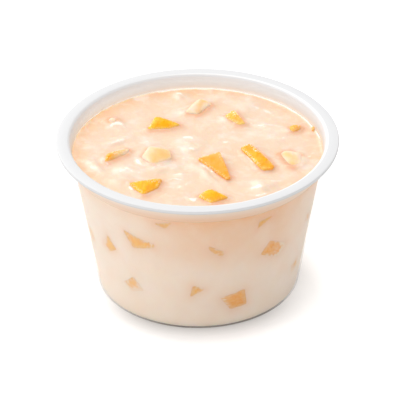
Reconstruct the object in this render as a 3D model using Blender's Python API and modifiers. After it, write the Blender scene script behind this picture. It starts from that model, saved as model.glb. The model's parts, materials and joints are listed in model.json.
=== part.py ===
"""A small plastic pot filled with fromage frais and diced fruit.

The pot is one turned shell of thin translucent plastic with a broad flat rim. The fromage
frais fills it to a few millimetres under the rim. Its top is folded and lumpy, and cut dice of
yellow fruit lie half sunk in it. More dice lie against the wall, where they show through it.
The pot stands on z = 0 with its axis on Z, and the front is towards -Y.
"""
import math
import random

import bmesh
import bpy
from mathutils import Vector

# Sizes below are in millimetres, and MM turns them into metres.
MM = 0.001
GAP = 0.3

# The pot: a straight cone under a flat rim.
RIM_RADIUS = 37.5
RIM_TOP = 42.6
RIM_THICKNESS = 0.95
RIM_EDGE_ROUND = 0.35
MOUTH_ROUND = 0.46
RIM_ROOT_ROUND = 0.4
WALL = 0.55
FLOOR = 0.6
OUTER_RADIUS_AT_FOOT = 27.14
GROWTH_PER_HEIGHT = 0.1733
FOOT_ROUND = 1.2
FLOOR_ROUND = 0.9
RECESS_RADIUS = 21.6
RECESS_HEIGHT = 0.5
RECESS_SLOPE = 0.5
TURN_STEPS = 64
ROUND_STEPS = 3

# The fromage frais: its level, and how it climbs the wall.
CREAM_LEVEL = 38.3
MENISCUS_HEIGHT = 0.3
MENISCUS_WIDTH = 1.2
TOP_RINGS = 17
SIDE_RINGS = 4

# Rounded lumps in the cream: x, y, spread and height.
LUMPS = (
    (-2.0, 3.8, 4.4, 1.0),
    (-18.9, -9.5, 4.4, 0.8),
    (-20.0, -15.0, 3.6, 0.5),
    (17.0, -17.8, 4.6, 0.9),
    (-3.7, -13.0, 3.2, 0.6),
    (-20.8, 13.2, 3.2, 0.8),
    (-4.8, 29.2, 2.4, 0.8),
    (20.5, 6.5, 4.5, 0.5),
    (14.0, 24.0, 5.0, 0.5),
)
# Folds left by the spoon: start, bend and end of the crest, its half width and height.
FOLDS = (
    ((13.0, 4.5), (18.0, -3.0), (26.0, -13.5), 1.5, 0.55),
    ((12.5, 13.0), (23.0, 14.5), (26.5, 2.5), 1.5, 0.5),
    ((12.5, 17.0), (19.0, 15.0), (25.0, 16.0), 1.3, 0.35),
    ((-1.5, -5.5), (0.0, -12.0), (6.5, -16.5), 1.4, 0.55),
    ((-16.0, -11.5), (-10.0, -9.5), (-3.0, -8.5), 1.6, 0.5),
    ((-26.5, 3.0), (-21.0, 6.0), (-15.5, 6.5), 1.8, 0.6),
    ((-30.0, -2.5), (-27.5, -6.5), (-25.0, -12.0), 1.6, 0.4),
)
FOLD_SAMPLES = 12

# Dice in the top: name, thickness under the surface, and corners as x, y and rise over the cream.
# The last corner is the crown, inside the outline.
TOP_DICE = (
    ("a", 3.4, ((-13.3, 10.8, 0.2), (-11.1, 16.1, 1.3), (-4.8, 13.0, 0.4), (-7.6, 11.0, 0.2),
                (-9.6, 13.3, 1.6))),
    ("b", 3.2, ((-3.3, 20.0, 0.4), (0.0, 18.8, 0.3), (3.8, 24.1, 0.5), (0.5, 25.5, 1.3),
                (-0.4, 22.7, 1.5))),
    ("c", 3.0, ((7.4, 17.2, 0.3), (10.0, 19.4, 1.2), (12.9, 13.6, 0.4), (11.0, 12.8, 0.2),
                (10.4, 16.4, 1.4))),
    ("d", 2.4, ((24.8, 11.4, 0.4), (27.8, 11.4, 0.7), (27.2, 9.8, 0.3), (25.4, 8.8, 0.2),
                (26.3, 10.6, 0.9))),
    ("e", 2.6, ((-24.3, -6.3, 0.2), (-23.8, -2.6, 0.7), (-18.5, 0.2, 0.5), (-18.8, -1.6, 0.2),
                (-22.0, -2.9, 1.0))),
    ("f", 3.4, ((-14.7, -3.9, 0.4), (-12.7, 0.9, 1.0), (-7.8, -1.0, 1.0), (-7.1, -4.6, 0.6),
                (-11.8, -7.4, 0.3), (-11.0, -2.2, 1.7))),
    ("g", 3.4, ((0.6, -5.8, 0.3), (5.8, -4.0, 1.2), (8.2, -14.3, 0.4), (7.2, -14.9, 0.3),
                (6.2, -6.6, 1.5))),
    ("h", 3.2, ((11.8, -0.4, 0.4), (14.3, 0.6, 1.2), (19.6, -8.7, 0.7), (19.2, -10.0, 0.3),
                (16.7, -10.3, 0.3), (16.0, -3.8, 1.3))),
    ("i", 3.2, ((21.5, -2.8, 0.4), (23.6, -1.2, 0.9), (27.2, -2.6, 0.8), (27.3, -8.1, 0.4),
                (24.3, -9.4, 0.3), (24.7, -4.4, 1.5))),
    ("j", 3.4, ((-17.8, -17.3, 0.5), (-9.7, -15.7, 0.9), (-10.6, -19.4, 0.4), (-13.9, -22.5, 0.2),
                (-13.0, -18.0, 1.4))),
    ("k", 3.2, ((0.2, -23.9, 0.4), (3.0, -21.2, 1.1), (7.6, -24.3, 0.5), (3.5, -26.8, 0.2),
                (3.6, -23.8, 1.5))),
    ("l", 2.0, ((-24.4, 15.6, 0.4), (-23.2, 17.0, 0.8), (-21.6, 15.6, 0.6), (-22.6, 13.8, 0.2),
                (-22.9, 15.4, 1.1))),
)

# Dice at the wall in front: name, angle from the front in degrees, height of the middle, and
# corners as steps along the wall and up.
WALL_DICE = (
    ("m", -15.5, 34.9, ((-2.7, 0.2), (2.4, 1.4), (0.3, -1.1))),
    ("n", -28.5, 27.4, ((-5.2, 2.6), (4.4, 0.5), (4.0, -0.9), (-2.4, -2.9))),
    ("o", -50.0, 21.8, ((0.2, 3.2), (3.0, -0.5), (-0.3, -2.9), (-3.0, -1.6))),
    ("p", 8.5, 26.5, ((-2.1, 2.2), (2.5, -0.5), (1.4, -2.3), (-1.9, 0.7))),
    ("q", 31.5, 33.6, ((2.6, 0.9), (1.1, 0.8), (-1.9, -1.9), (-1.5, 0.3))),
    ("r", 40.5, 22.4, ((-2.1, 3.8), (4.5, -0.2), (1.8, -3.7), (-4.7, -0.2))),
    ("s", -1.3, 13.2, ((-0.9, 1.8), (2.6, 0.6), (-1.7, -2.6))),
    ("t", 19.0, 8.6, ((-3.8, 1.6), (2.9, 3.4), (4.0, -2.6), (-0.8, -3.3), (-2.0, -1.0))),
    ("u", -37.0, 11.0, ((0.7, 3.3), (-3.4, -0.4), (-0.6, -2.6), (3.6, -0.6))),
    ("v", 70.0, 24.6, ((-2.2, 1.8), (2.4, 0.9), (0.6, -2.4), (-2.5, -0.7))),
    ("w", 63.0, 10.6, ((-2.4, 0.8), (1.6, 2.3), (2.4, -1.8), (-1.2, -2.2))),
)
# Dice round the back of the wall, drawn by a seeded rule.
BACK_DICE = 10
BACK_FIRST_ANGLE = 98.0
BACK_LAST_ANGLE = 290.0
BACK_LOWEST = 8.0
BACK_HIGHEST = 31.0
BACK_SIZE = (2.6, 4.6)
BACK_SEED = 7
WALL_DICE_DEPTH = 4.0
INNER_SHRINK = 0.7
LOWER_SHRINK = 0.78
DICE_EDGE = 0.4
FLAT_ENOUGH = math.radians(3)
SHARP_ANGLE = math.radians(40)


def clear_scene():
    """Remove every object, so the script can be run again."""
    for thing in list(bpy.data.objects):
        bpy.data.objects.remove(thing, do_unlink=True)


def new_collection(name):
    """A collection linked to the scene."""
    group = bpy.data.collections.new(name)
    bpy.context.scene.collection.children.link(group)
    return group


def new_material(name, colour, roughness):
    """A plain Principled material."""
    material = bpy.data.materials.new(name)
    material.use_nodes = True
    shader = material.node_tree.nodes["Principled BSDF"]
    shader.inputs["Base Color"].default_value = (*colour, 1.0)
    shader.inputs["Roughness"].default_value = roughness
    shader.inputs["Metallic"].default_value = 0.0
    return material


def outer_radius(height):
    """Radius of the pot's outer face at a height."""
    return OUTER_RADIUS_AT_FOOT + GROWTH_PER_HEIGHT * height


def inner_radius(height):
    """Radius of the pot's inner face at a height."""
    lean = math.atan(GROWTH_PER_HEIGHT)
    return outer_radius(height) - WALL / math.cos(lean)


def cream_radius(height):
    """Radius of the filling, which keeps a hair's breadth off the wall."""
    return inner_radius(height) - GAP


def rounded_profile(corners):
    """Points of a profile whose corners, given as radius, height and rounding, become arcs."""
    points = []
    for index, (radius, height, rounding) in enumerate(corners):
        corner = Vector((radius, height))
        if rounding == 0:
            points.append(corner)
            continue
        before = (Vector(corners[index - 1][:2]) - corner).normalized()
        after = (Vector(corners[index + 1][:2]) - corner).normalized()
        half_angle = before.angle(after) / 2
        reach = rounding / math.tan(half_angle)
        centre = corner + (before + after).normalized() * (rounding / math.sin(half_angle))
        start = corner + before * reach - centre
        end = corner + after * reach - centre
        sweep = start.angle_signed(end)
        for step in range(ROUND_STEPS + 1):
            turn = -sweep * step / ROUND_STEPS
            arm = Vector((start.x * math.cos(turn) - start.y * math.sin(turn),
                          start.x * math.sin(turn) + start.y * math.cos(turn)))
            points.append(centre + arm)
    return points


def turned_object(name, points, group):
    """A profile of radius and height in millimetres, turned about Z by a Screw modifier."""
    mesh = bpy.data.meshes.new(name)
    verts = [(point[0] * MM, 0.0, point[1] * MM) for point in points]
    edges = [(index, index + 1) for index in range(len(points) - 1)]
    mesh.from_pydata(verts, edges, [])
    turned = bpy.data.objects.new(name, mesh)
    group.objects.link(turned)
    screw = turned.modifiers.new("turn", "SCREW")
    screw.axis = "Z"
    screw.steps = TURN_STEPS
    screw.render_steps = TURN_STEPS
    screw.use_merge_vertices = True
    screw.merge_threshold = 0.00001
    screw.use_smooth_shade = True
    return turned


def applied_mesh(thing):
    """The object's mesh with its modifiers applied."""
    bpy.context.view_layer.update()
    graph = bpy.context.evaluated_depsgraph_get()
    return bpy.data.meshes.new_from_object(thing.evaluated_get(graph))


def make_pot(group, material):
    """The turned shell: inside, rim, outside and the recessed base, in that order."""
    floor_under_centre = RECESS_HEIGHT + FLOOR
    rim_underside = RIM_TOP - RIM_THICKNESS
    corners = (
        (0.0, floor_under_centre, 0),
        (RECESS_RADIUS, floor_under_centre, 0),
        (RECESS_RADIUS + RECESS_SLOPE, FLOOR, 0),
        (inner_radius(FLOOR), FLOOR, FLOOR_ROUND),
        (inner_radius(RIM_TOP), RIM_TOP, MOUTH_ROUND),
        (RIM_RADIUS, RIM_TOP, RIM_EDGE_ROUND),
        (RIM_RADIUS, rim_underside, RIM_EDGE_ROUND),
        (outer_radius(rim_underside), rim_underside, RIM_ROOT_ROUND),
        (outer_radius(0.0), 0.0, FOOT_ROUND),
        (RECESS_RADIUS + RECESS_SLOPE, 0.0, 0),
        (RECESS_RADIUS, RECESS_HEIGHT, 0),
        (0.0, RECESS_HEIGHT, 0),
    )
    pot = turned_object("pot", rounded_profile(corners), group)
    pot.data.materials.append(material)
    return pot


def bend_points(start, bend, end):
    """Points along a smooth bend from start to end, drawn towards the bend point."""
    for step in range(FOLD_SAMPLES + 1):
        along = step / FOLD_SAMPLES
        back = 1 - along
        yield along, tuple(back * back * start[axis] + 2 * back * along * bend[axis]
                           + along * along * end[axis] for axis in (0, 1))


def fold_height(x, y, fold):
    """Height of one fold at a place: a smooth ridge that fades at both ends."""
    start, bend, end, width, height = fold
    best = 0.0
    for along, (px, py) in bend_points(start, bend, end):
        distance = math.hypot(x - px, y - py)
        fade = math.sin(math.pi * min(max(along, 0.08), 0.92))
        best = max(best, fade * math.exp(-(distance / width) ** 2))
    return height * best


def cream_height(x, y):
    """Height of the cream's surface at a place, in millimetres."""
    height = CREAM_LEVEL
    for lump_x, lump_y, spread, rise in LUMPS:
        distance = math.hypot(x - lump_x, y - lump_y)
        height += rise * math.exp(-(1.5 * distance / spread) ** 2)
    for fold in FOLDS:
        height += fold_height(x, y, fold)
    from_wall = cream_radius(CREAM_LEVEL) - math.hypot(x, y)
    height += MENISCUS_HEIGHT * math.exp(-max(from_wall, 0.0) / MENISCUS_WIDTH)
    return height


def make_cream(group, cutters, material):
    """The filling: turned, given its relief, then cut round every dice."""
    floor_top = RECESS_HEIGHT + FLOOR + GAP
    bottom = FLOOR + GAP
    edge = cream_radius(CREAM_LEVEL)
    points = [Vector((edge * ring / TOP_RINGS, CREAM_LEVEL)) for ring in range(TOP_RINGS + 1)]
    for ring in range(1, SIDE_RINGS):
        height = CREAM_LEVEL + (bottom - CREAM_LEVEL) * ring / SIDE_RINGS
        points.append(Vector((cream_radius(height), height)))
    points += rounded_profile((
        (cream_radius(bottom + FLOOR_ROUND * 2), bottom + FLOOR_ROUND * 2, 0),
        (cream_radius(bottom), bottom, FLOOR_ROUND),
        (RECESS_RADIUS + RECESS_SLOPE + GAP, bottom, 0),
        (RECESS_RADIUS + GAP, floor_top, 0),
        (0.0, floor_top, 0),
    ))
    blank = turned_object("cream_blank", points, group)
    mesh = applied_mesh(blank)
    bpy.data.objects.remove(blank, do_unlink=True)
    for vertex in mesh.vertices:
        if vertex.co.z > (CREAM_LEVEL - 0.01) * MM:
            vertex.co.z = cream_height(vertex.co.x / MM, vertex.co.y / MM) * MM
    mesh.name = "fromage_frais"
    mesh.materials.clear()
    mesh.materials.append(material)
    cream = bpy.data.objects.new("fromage_frais", mesh)
    group.objects.link(cream)
    cut = cream.modifiers.new("pockets", "BOOLEAN")
    cut.operation = "DIFFERENCE"
    cut.operand_type = "COLLECTION"
    cut.collection = cutters
    cut.solver = "EXACT"
    return cream


def convex_mesh(name, corners):
    """The convex body of some corners, in millimetres, with its flat faces whole."""
    form = bmesh.new()
    for corner in corners:
        form.verts.new([value * MM for value in corner])
    hull = bmesh.ops.convex_hull(form, input=form.verts[:])
    spare = {item for key in ("geom_interior", "geom_unused") for item in hull[key]}
    bmesh.ops.delete(form, geom=[item for item in spare if isinstance(item, bmesh.types.BMVert)],
                     context="VERTS")
    bmesh.ops.dissolve_limit(form, angle_limit=FLAT_ENOUGH, verts=form.verts[:],
                             edges=form.edges[:])
    bmesh.ops.recalc_face_normals(form, faces=form.faces[:])
    mesh = bpy.data.meshes.new(name)
    form.to_mesh(mesh)
    form.free()
    mesh.shade_smooth()
    mesh.set_sharp_from_angle(angle=SHARP_ANGLE)
    return mesh


def soften_edges(thing):
    """Break the cut edges of a dice with a small bevel."""
    bevel = thing.modifiers.new("soft_edges", "BEVEL")
    bevel.width = DICE_EDGE * MM
    bevel.segments = 1
    bevel.limit_method = "ANGLE"
    bevel.angle_limit = math.radians(15)


def add_dice(name, corners, group, cutters, material):
    """One dice of fruit, and the slightly larger cutter that makes its pocket."""
    mesh = convex_mesh(name, corners)
    mesh.materials.append(material)
    dice = bpy.data.objects.new(name, mesh)
    group.objects.link(dice)
    soften_edges(dice)
    cutter = bpy.data.objects.new(name + "_pocket", mesh)
    cutters.objects.link(cutter)
    soften_edges(cutter)
    grow = cutter.modifiers.new("clearance", "DISPLACE")
    grow.direction = "NORMAL"
    grow.mid_level = 0.0
    grow.strength = GAP * 1.25 * MM
    cutter.hide_render = True
    cutter.display_type = "WIRE"
    return dice


def top_dice_corners(thickness, corners):
    """Corners of a dice in the top: those that show, and the smaller outline under the cream."""
    upper = [Vector((x, y, CREAM_LEVEL + rise)) for x, y, rise in corners]
    outline = upper[:-1]
    middle = sum(outline, Vector()) / len(outline)
    lower = []
    for corner in outline:
        spot = middle + (corner - middle) * LOWER_SHRINK
        lower.append(Vector((spot.x, spot.y, CREAM_LEVEL - thickness)))
    return upper + lower


def wall_point(angle, height, along, up, depth):
    """A point near the wall: turned from the front, stepped along and up, and in from the cream."""
    level = height + up
    radius = cream_radius(level) - depth
    turn = math.radians(angle) + along / cream_radius(height)
    return Vector((radius * math.sin(turn), -radius * math.cos(turn), level))


def wall_dice_corners(angle, height, corners):
    """Corners of a dice at the wall: its outer face follows the wall, its inner one is smaller."""
    outer = [wall_point(angle, height, along, up, 0.0) for along, up in corners]
    inner = [wall_point(angle, height, along * INNER_SHRINK, up * INNER_SHRINK, WALL_DICE_DEPTH)
             for along, up in corners]
    return outer + inner


def back_dice():
    """Dice round the back, spread evenly and then shifted, with three to five corners each."""
    rng = random.Random(BACK_SEED)
    for index in range(BACK_DICE):
        share = index / (BACK_DICE - 1)
        angle = BACK_FIRST_ANGLE + share * (BACK_LAST_ANGLE - BACK_FIRST_ANGLE)
        rise = (index * 0.382) % 1.0
        height = BACK_LOWEST + rise * (BACK_HIGHEST - BACK_LOWEST) + rng.uniform(-1.0, 1.0)
        count = rng.choice((3, 4, 4, 5))
        start = rng.uniform(0.0, math.tau)
        corners = []
        for corner in range(count):
            turn = start + math.tau * (corner + rng.uniform(-0.2, 0.2)) / count
            reach = rng.uniform(*BACK_SIZE)
            corners.append((reach * math.cos(turn), 0.85 * reach * math.sin(turn)))
        yield f"back_{index + 1}", angle, height, corners


def make_fruit(group, cutters, material):
    """Every dice that shows: in the top, at the wall in front, and round the back."""
    for name, thickness, corners in TOP_DICE:
        add_dice("fruit_top_" + name, top_dice_corners(thickness, corners), group, cutters,
                 material)
    for name, angle, height, corners in (*WALL_DICE, *back_dice()):
        add_dice("fruit_wall_" + name, wall_dice_corners(angle, height, corners), group, cutters,
                 material)


def main():
    """Build the pot, the fruit and the filling."""
    clear_scene()
    parts = new_collection("fromage_frais_pot")
    cutters = new_collection("pockets")
    make_pot(parts, new_material("white_plastic", (0.90, 0.89, 0.88), 0.35))
    make_fruit(parts, cutters, new_material("fruit", (0.93, 0.45, 0.05), 0.35))
    make_cream(parts, cutters, new_material("cream", (0.96, 0.76, 0.58), 0.30))


main()
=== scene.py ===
# %% [markdown]
# # A small pot of fromage frais with diced fruit
# This lesson dresses a pot of fromage frais. The solids of the pot, of its filling and of each
# dice of fruit come in as a fixed frame, and every piece made here is fitted to them. We build
# the camera and the light first, then the pot, the cream and the fruit, each with its finish.

# %% Load the frame
import json
import math
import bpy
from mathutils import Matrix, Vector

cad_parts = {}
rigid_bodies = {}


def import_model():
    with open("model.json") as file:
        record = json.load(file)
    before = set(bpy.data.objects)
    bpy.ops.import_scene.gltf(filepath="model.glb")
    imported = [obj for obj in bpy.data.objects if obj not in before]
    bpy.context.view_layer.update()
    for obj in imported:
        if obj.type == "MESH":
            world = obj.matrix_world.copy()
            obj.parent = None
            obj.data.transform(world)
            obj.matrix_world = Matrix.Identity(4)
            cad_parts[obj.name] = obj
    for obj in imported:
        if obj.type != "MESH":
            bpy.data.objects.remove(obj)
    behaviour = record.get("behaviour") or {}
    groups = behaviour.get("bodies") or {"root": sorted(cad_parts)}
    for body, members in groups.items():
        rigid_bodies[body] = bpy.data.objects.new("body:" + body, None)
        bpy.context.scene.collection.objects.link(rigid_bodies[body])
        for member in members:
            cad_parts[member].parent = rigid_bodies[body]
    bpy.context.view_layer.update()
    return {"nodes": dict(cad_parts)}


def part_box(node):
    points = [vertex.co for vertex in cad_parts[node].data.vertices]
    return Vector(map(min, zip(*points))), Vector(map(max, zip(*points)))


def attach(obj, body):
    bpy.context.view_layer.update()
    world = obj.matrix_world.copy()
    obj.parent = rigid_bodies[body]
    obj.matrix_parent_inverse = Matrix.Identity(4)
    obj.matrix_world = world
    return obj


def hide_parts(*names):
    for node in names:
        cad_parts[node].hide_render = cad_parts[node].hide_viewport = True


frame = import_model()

from types import SimpleNamespace

import bmesh
import bpy
import numpy as np
from mathutils import Matrix, Vector, noise
from mathutils.bvhtree import BVHTree
from mathutils.kdtree import KDTree

MM = 0.001

# %% [markdown]
# ## Sizes that everything shares
# The rim's radius and height are read from the frame. The rest describe how such a pot is
# moulded: a straight cone of thin plastic under a flat rim, filled to just below the mouth.

# %% Named sizes of the pot and its filling, in metres
pot_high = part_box("pot")[1]
RIM_RADIUS = pot_high[0]
RIM_TOP = pot_high[2]
RIM_THICKNESS = 0.95 * MM
RIM_EDGE_ROUND = 0.35 * MM
MOUTH_ROUND = 0.95 * MM
RIM_ROOT_ROUND = 0.4 * MM
WALL = 0.55 * MM
FLOOR_THICKNESS = 0.6 * MM
OUTER_RADIUS_AT_FOOT = 27.38 * MM
GROWTH_PER_HEIGHT = 0.1677
FOOT_ROUND = 0.30 * MM
FLOOR_ROUND = 0.35 * MM
RECESS_RADIUS = 21.6 * MM
RECESS_HEIGHT = 0.5 * MM
RECESS_SLOPE = 0.5 * MM
FRAME_GAP = 0.3 * MM
CREAM_LEVEL = 38.3 * MM


def outer_radius(height):
    """Radius of the pot's outer face at a height."""
    return OUTER_RADIUS_AT_FOOT + GROWTH_PER_HEIGHT * height


def inner_radius(height):
    """Radius of the pot's inner face at a height."""
    return outer_radius(height) - WALL / math.cos(math.atan(GROWTH_PER_HEIGHT))


print("rim", round(RIM_RADIUS / MM, 2), "mm, mouth", round(inner_radius(RIM_TOP) / MM, 2), "mm")

# %% [markdown]
# ## The camera
# The ellipses of the rim and the foot fix the view: a long lens, about 32 degrees above the
# table, with a hair of roll. We write the camera's own axes into its matrix.

# %% Place the camera
CAMERA_ELEVATION = math.radians(31.91)
CAMERA_DISTANCE = 686.94 * MM
CAMERA_TARGET = Vector((0.55, 0.0, 22.9)) * MM
CAMERA_ROLL = math.radians(-0.4)
FIELD_OF_VIEW = math.radians(8.95)


def linked(name, data):
    """An object at the origin that carries a mesh, a lamp or a camera."""
    thing = bpy.data.objects.new(name, data)
    bpy.context.scene.collection.objects.link(thing)
    return thing


backward = Vector((0.0, -math.cos(CAMERA_ELEVATION), math.sin(CAMERA_ELEVATION)))
sideways = Vector((1.0, 0.0, 0.0))
upward = backward.cross(sideways)
rolled_side = math.cos(CAMERA_ROLL) * sideways + math.sin(CAMERA_ROLL) * upward
rolled_up = math.cos(CAMERA_ROLL) * upward - math.sin(CAMERA_ROLL) * sideways
camera_data = bpy.data.cameras.new("camera")
camera_data.sensor_width = 36.0
camera_data.lens = camera_data.sensor_width / 2 / math.tan(FIELD_OF_VIEW / 2)
camera = linked("camera", camera_data)
turned = Matrix((rolled_side, rolled_up, backward)).transposed().to_4x4()
camera.matrix_world = Matrix.Translation(CAMERA_TARGET + backward * CAMERA_DISTANCE) @ turned
bpy.context.scene.camera = camera
print("lens", round(camera_data.lens, 1), "mm")

# %% [markdown]
# ## Shader maths as Python
# A material is a graph of nodes. One small class wraps a socket, so that sums and products of
# sockets can be written as ordinary expressions, and each one adds its Math node.

# %% A socket that Python's operators work on, and a material that grows nodes
class Number:
    """A number socket. Its operators add Math nodes."""

    def __init__(self, sheet, socket):
        self.sheet = sheet
        self.socket = socket

    def apply(self, operation, first, second):
        return self.sheet.add("ShaderNodeMath", {"operation": operation}, {0: first, 1: second})

    def __add__(self, other):
        return self.apply("ADD", self, other)

    __radd__ = __add__

    def __sub__(self, other):
        return self.apply("SUBTRACT", self, other)

    def __rsub__(self, other):
        return self.apply("SUBTRACT", other, self)

    def __mul__(self, other):
        return self.apply("MULTIPLY", self, other)

    __rmul__ = __mul__

    def __pow__(self, other):
        return self.apply("POWER", self, other)

    def clamp(self):
        """Keep the value between 0 and 1."""
        return self.sheet.add("ShaderNodeMath", {"operation": "ADD", "use_clamp": True},
                              {0: self, 1: 0.0})

    def ramp(self, low, high):
        """0 at low, 1 at high, and smooth between them."""
        return self.sheet.add("ShaderNodeMapRange", {"interpolation_type": "SMOOTHSTEP"},
                              {"Value": self, "From Min": low, "From Max": high})


class Sheet:
    """A new material, and one method that adds any node to it."""

    def __init__(self, name):
        self.material = bpy.data.materials.new(name)
        self.material.use_nodes = True
        self.nodes = self.material.node_tree.nodes
        self.links = self.material.node_tree.links
        self.shader = self.nodes["Principled BSDF"]

    def add(self, kind, settings=None, values=None, out=0):
        """Add a node: its settings first, then the values or links of its sockets."""
        node = self.nodes.new(kind)
        for name, value in (settings or {}).items():
            setattr(node, name, value)
        for key, value in (values or {}).items():
            self.feed(node.inputs[key], value)
        return Number(self, node.outputs[out])

    def feed(self, socket, value):
        """Link a socket, or set its value where a plain one is given."""
        if isinstance(value, Number):
            self.links.new(value.socket, socket)
        elif isinstance(value, tuple) and socket.type == "RGBA":
            socket.default_value = (*value, 1.0)
        else:
            socket.default_value = value

    def finish(self, **values):
        """Set or link the Principled shader's sockets, named with _ for each space."""
        for name, value in values.items():
            words = name.replace("_", " ")
            socket = next(item for item in self.shader.inputs if item.name.lower() == words)
            self.feed(socket, value)
        return self.material

    def place(self):
        """Object coordinates, in metres."""
        return self.add("ShaderNodeTexCoord", out="Object")

    def part(self, axis):
        """One object coordinate of a point, in metres."""
        return self.add("ShaderNodeSeparateXYZ", values={0: self.place()}, out=axis)

    def vector(self, operation, first, second):
        """The sum or the product of two vectors."""
        return self.add("ShaderNodeVectorMath", {"operation": operation}, {0: first, 1: second})

    def radius(self):
        """How far a point lies from the axis, in metres."""
        flat = self.vector("MULTIPLY", self.place(), (1.0, 1.0, 0.0))
        return self.add("ShaderNodeVectorMath", {"operation": "LENGTH"}, {0: flat}, "Value")

    def cloud(self, place, scale, detail, out=0):
        """Noise at a place, with a number of features for each metre."""
        return self.add("ShaderNodeTexNoise", None,
                        {"Vector": place, "Scale": scale, "Detail": detail}, out)

    def grain(self, size, detail, stretch=(1.0, 1.0, 1.0)):
        """Noise with features of about a size in metres, from 0 to 1."""
        return self.cloud(self.vector("MULTIPLY", self.place(), stretch), 1 / size, detail)

    def swirl(self, size, push, detail):
        """Noise drawn out into swirls by a second, larger noise."""
        wind = self.cloud(self.place(), 0.6 / size, 1.0, "Color")
        shift = self.add("ShaderNodeVectorMath", {"operation": "SCALE"},
                         {0: wind, "Scale": push * 2})
        return self.cloud(self.vector("ADD", self.place(), shift), 1 / size, detail)

    def mix(self, factor, first, second):
        """One colour over another."""
        return self.add("ShaderNodeMix", {"data_type": "RGBA"},
                        {"Factor": factor, 6: first, 7: second}, 2)

    def bump(self, height, depth):
        """A normal from a height that varies from 0 to 1 over a depth in metres."""
        return self.add("ShaderNodeBump", values={"Height": height, "Distance": depth,
                                                  "Strength": 1.0}, out="Normal")

    def open_air(self, reach):
        """1 in the open, and less where something stands within reach."""
        return self.add("ShaderNodeAmbientOcclusion", {"samples": 16}, {"Distance": reach}, "AO")

    def painted(self, name):
        """A value stored on the mesh's points."""
        return self.add("ShaderNodeAttribute", {"attribute_name": name}, out="Fac")


print("socket maths ready")

# %% [markdown]
# ## The stage and the light
# The pot stands on a plain white table in a bright room. A big soft lamp hangs over the back
# left, so the folds of the cream catch it, and the pot's right side falls a little darker.
# The table glows a little of its own, which keeps it white up to the painted soft shadow at the
# foot.

# %% The table
TABLE_SIZE = 30.0
TABLE_WHITE = (0.93, 0.93, 0.93)
TABLE_SHADE = (0.24, 0.222, 0.21)
TABLE_GLOW = (0.34, 0.34, 0.34)
BLACK = (0.0, 0.0, 0.0)
SHADOW_REACH = 9 * MM
CONTACT_SHADOW_REACH = 0.5 * MM


def stage_floor():
    """A wide white table top at z = 0, with painted shadow: soft round the foot and dark under it.
    """
    bpy.ops.mesh.primitive_plane_add(size=TABLE_SIZE, location=(0.0, 0.0, 0.0))
    table = bpy.context.object
    table.name = "table"
    sheet = Sheet("white_table")
    # Painted shadow: ambient occlusion darkens the table round the foot, more towards the front.
    ahead = 0.0 - sheet.part("Y")
    strength = 0.44 + ahead.ramp(8 * MM, 27 * MM) * 0.6
    open_air = (1.0 - (1.0 - sheet.open_air(SHADOW_REACH)) * strength).clamp()
    # Painted contact shadow: a dark line right under the foot, strongest along the middle.
    to_right = sheet.part("X")
    right_end = to_right.ramp(18 * MM, 27 * MM)
    contact_shadow_strength = 0.3 + to_right.ramp(-25 * MM, -6 * MM) * (1.0 - right_end) * 1.6
    contact_shadow = (1.0 - sheet.open_air(CONTACT_SHADOW_REACH)) * contact_shadow_strength
    open_air = open_air * (1.0 - contact_shadow).clamp()
    camera_ray = sheet.add("ShaderNodeLightPath", out="Is Camera Ray")
    shade = sheet.mix(1.0 - camera_ray * (1.0 - open_air), TABLE_SHADE, TABLE_WHITE)
    glow = sheet.mix(open_air * camera_ray, BLACK, TABLE_GLOW)
    sheet.finish(base_color=shade, roughness=0.9, specular_ior_level=0.0,
                 emission_color=glow, emission_strength=1.0)
    table.data.materials.append(sheet.material)


stage_floor()
print("table ready")

# %% World and lamps
WORLD_WHITE = (1.0, 1.0, 1.0, 1.0)
WORLD_STRENGTH = 0.81


def soft_lamp(name, direction, distance, size, power):
    """A square lamp that looks at the pot from a direction."""
    data = bpy.data.lights.new(name, "AREA")
    data.shape = "SQUARE"
    data.size = size
    data.energy = power
    lamp = linked(name, data)
    aim = Vector(direction).normalized()
    lamp.location = aim * distance
    lamp.rotation_euler = aim.to_track_quat("Z", "Y").to_euler()


world = bpy.data.worlds.new("bright_room")
world.use_nodes = True
backdrop = world.node_tree.nodes["Background"]
backdrop.inputs["Color"].default_value = WORLD_WHITE
backdrop.inputs["Strength"].default_value = WORLD_STRENGTH
bpy.context.scene.world = world
soft_lamp("key", direction=(-0.45, 0.75, 0.75), distance=2.5, size=1.5, power=28.0)
soft_lamp("side", direction=(-0.95, -0.45, 0.55), distance=2.5, size=1.9, power=11.5)
bpy.context.scene.view_settings.view_transform = "Standard"
print("light ready")

# %% [markdown]
# ## A turned shape by Geometry Nodes
# The pot and its filling are both round, so both are a profile swept round the axis. The tree
# below lays a grid out, reads the profile's points along one side of it, and turns each row
# by its share of a full circle. The last step joins the seam and the poles.

# %% Build the turning tree
WELD_REACH = 0.000001


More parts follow.
